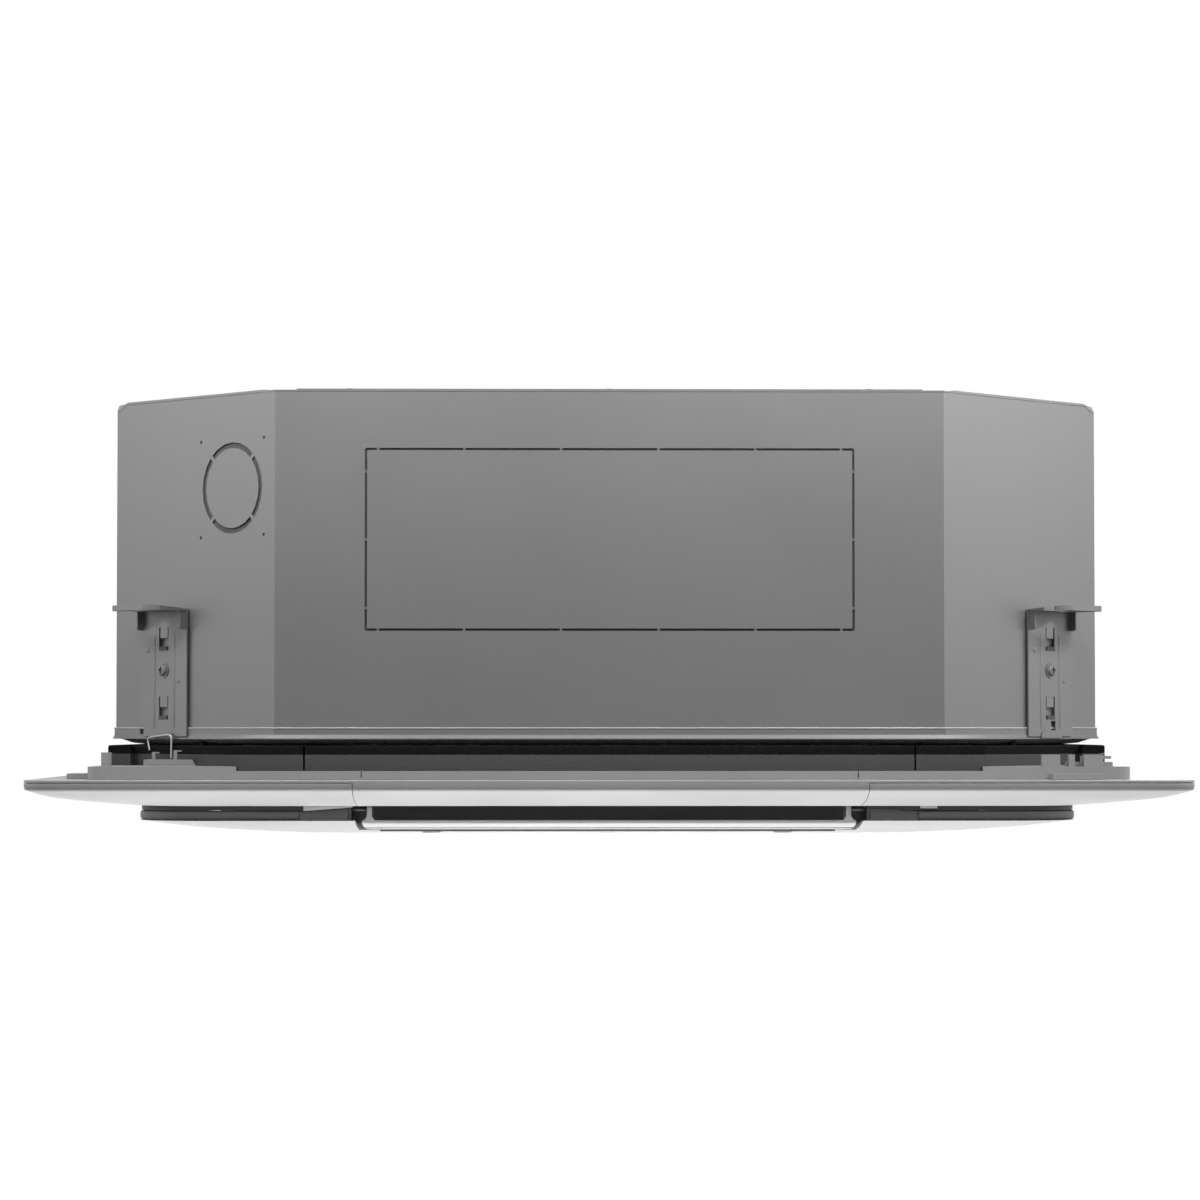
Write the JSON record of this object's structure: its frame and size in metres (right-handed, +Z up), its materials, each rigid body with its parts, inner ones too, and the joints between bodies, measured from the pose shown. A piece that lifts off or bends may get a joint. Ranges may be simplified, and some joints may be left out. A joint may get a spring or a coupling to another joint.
{
  "type": "ceiling cassette air conditioner",
  "caption": "Ceiling cassette air conditioner: eight-sided steel casing with hanging brackets over a square panel with a foam seal, side flaps and a convex intake cover.",
  "frame": {"origin": "centre of the ceiling opening, on the ceiling plane, which is the top face of the panel rim", "axes": "+Z up, -Y towards the side with the rectangular duct knock-out, +X to the right seen from that side"},
  "size_m": [0.95, 0.95, 0.3714],
  "materials": {
    "galvanised_steel": "matt galvanised sheet",
    "lining_foam": "black closed-cell foam",
    "seal_foam": "dark grey foam with a black speckled top layer",
    "aluminium_fins": "close-set fins",
    "expanded_foam": "white expanded foam",
    "copper": "drawn copper",
    "dark_plastic": "moulded, matt",
    "guide_plastic": "moulded, matt dark grey",
    "grey_plastic": "moulded, matt",
    "white_plastic": "fine moulded texture",
    "bright_steel": "zinc plated"
  },
  "bodies": {
    "unit": {"top_plate": "galvanised_steel", "casing_front_wall": "galvanised_steel", "casing_rear_wall": "galvanised_steel", "casing_left_wall": "galvanised_steel", "casing_right_wall": "galvanised_steel", "base_rim": "galvanised_steel", "pipe_plate": "galvanised_steel", "motor_bracket": "galvanised_steel", "control_box": "galvanised_steel", "control_box_lid": "galvanised_steel", "hanging_bracket_front_left": "galvanised_steel", "hanging_bracket_front_right": "galvanised_steel", "hanging_bracket_rear_right": "galvanised_steel", "hanging_bracket_rear_left": "galvanised_steel", "wall_lining": "lining_foam", "roof_lining": "lining_foam", "foam_seal": "seal_foam", "evaporator_coil": "aluminium_fins", "drain_pan": "expanded_foam", "gas_pipe": "copper", "liquid_pipe": "copper", "drain_pump": "dark_plastic", "fan_motor": "dark_plastic", "corner_guide_front_left": "guide_plastic", "corner_guide_front_right": "guide_plastic", "corner_guide_rear_right": "guide_plastic", "corner_guide_rear_left": "guide_plastic", "drain_outlet": "grey_plastic", "panel_base": "grey_plastic", "flap_motor_front": "grey_plastic", "flap_motor_right": "grey_plastic", "flap_motor_rear": "grey_plastic", "flap_motor_left": "grey_plastic", "float_stem": "white_plastic", "bell_mouth": "white_plastic", "panel_frame": "white_plastic", "centre_cover": "white_plastic", "corner_cover_front_left": "white_plastic", "corner_cover_front_right": "white_plastic", "corner_cover_rear_right": "white_plastic", "corner_cover_rear_left": "white_plastic", "panel_bolt_front_left": "bright_steel", "panel_bolt_front_right": "bright_steel", "panel_bolt_rear_right": "bright_steel", "panel_bolt_rear_left": "bright_steel"},
    "fan": {"fan_impeller": "dark_plastic", "motor_shaft": "bright_steel", "fan_hub_nut": "bright_steel"},
    "pump_rotor": {"pump_impeller": "white_plastic"},
    "float_body": {"float": "dark_plastic"},
    "grille": {"intake_grille": "white_plastic", "air_filter": "dark_plastic"},
    "latch_left": {"grille_latch_left": "grey_plastic"},
    "latch_right": {"grille_latch_right": "grey_plastic"},
    "hook_front_left": {"temporary_hook_front_left": "bright_steel"},
    "hook_rear_right": {"temporary_hook_rear_right": "bright_steel"},
    "flap_body_front": {"flap_front": "white_plastic"},
    "flap_body_right": {"flap_right": "white_plastic"},
    "flap_body_rear": {"flap_rear": "white_plastic"},
    "flap_body_left": {"flap_left": "white_plastic"}
  },
  "joints": [
    {"name": "fan_spin", "type": "hinge", "parent": "unit", "child": "fan", "pos_m": [0, 0, 0.2], "axis": [0, 0, 1], "continuous": true},
    {"name": "pump_spin", "type": "hinge", "parent": "unit", "child": "pump_rotor", "pos_m": [-0.314, 0.314, 0.08], "axis": [0, 0, 1], "continuous": true},
    {"name": "float_rise", "type": "slide", "parent": "unit", "child": "float_body", "axis": [0, 0, 1], "range_m": [0, 0.02]},
    {"name": "flap_front_turn", "type": "hinge", "parent": "unit", "child": "flap_body_front", "pos_m": [0, -0.365, -0.0245], "axis": [1, 0, 0], "range_deg": [0, 50]},
    {"name": "flap_right_turn", "type": "hinge", "parent": "unit", "child": "flap_body_right", "pos_m": [0.365, 0, -0.0245], "axis": [0, 1, 0], "range_deg": [0, 50]},
    {"name": "flap_rear_turn", "type": "hinge", "parent": "unit", "child": "flap_body_rear", "pos_m": [0, 0.365, -0.0245], "axis": [-1, 0, 0], "range_deg": [0, 50]},
    {"name": "flap_left_turn", "type": "hinge", "parent": "unit", "child": "flap_body_left", "pos_m": [-0.365, 0, -0.0245], "axis": [0, -1, 0], "range_deg": [0, 50]},
    {"name": "grille_hinge", "type": "hinge", "parent": "unit", "child": "grille", "pos_m": [0, 0.298, -0.0415], "axis": [1, 0, 0], "range_deg": [0, 85]},
    {"name": "latch_left_slide", "type": "slide", "parent": "grille", "child": "latch_left", "axis": [0, -1, 0], "range_m": [0, 0.008]},
    {"name": "latch_right_slide", "type": "slide", "parent": "grille", "child": "latch_right", "axis": [0, -1, 0], "range_m": [0, 0.008]},
    {"name": "hook_front_left_flex", "type": "hinge", "parent": "unit", "child": "hook_front_left", "pos_m": [-0.36659, -0.33639, 0.0166], "axis": [0.7071, -0.7071, 0], "range_deg": [0, 25], "stiffness_Nm_per_rad": 0.02},
    {"name": "hook_rear_right_flex", "type": "hinge", "parent": "unit", "child": "hook_rear_right", "pos_m": [0.36659, 0.33639, 0.0166], "axis": [-0.7071, 0.7071, 0], "range_deg": [0, 25], "stiffness_Nm_per_rad": 0.02}
  ]
}
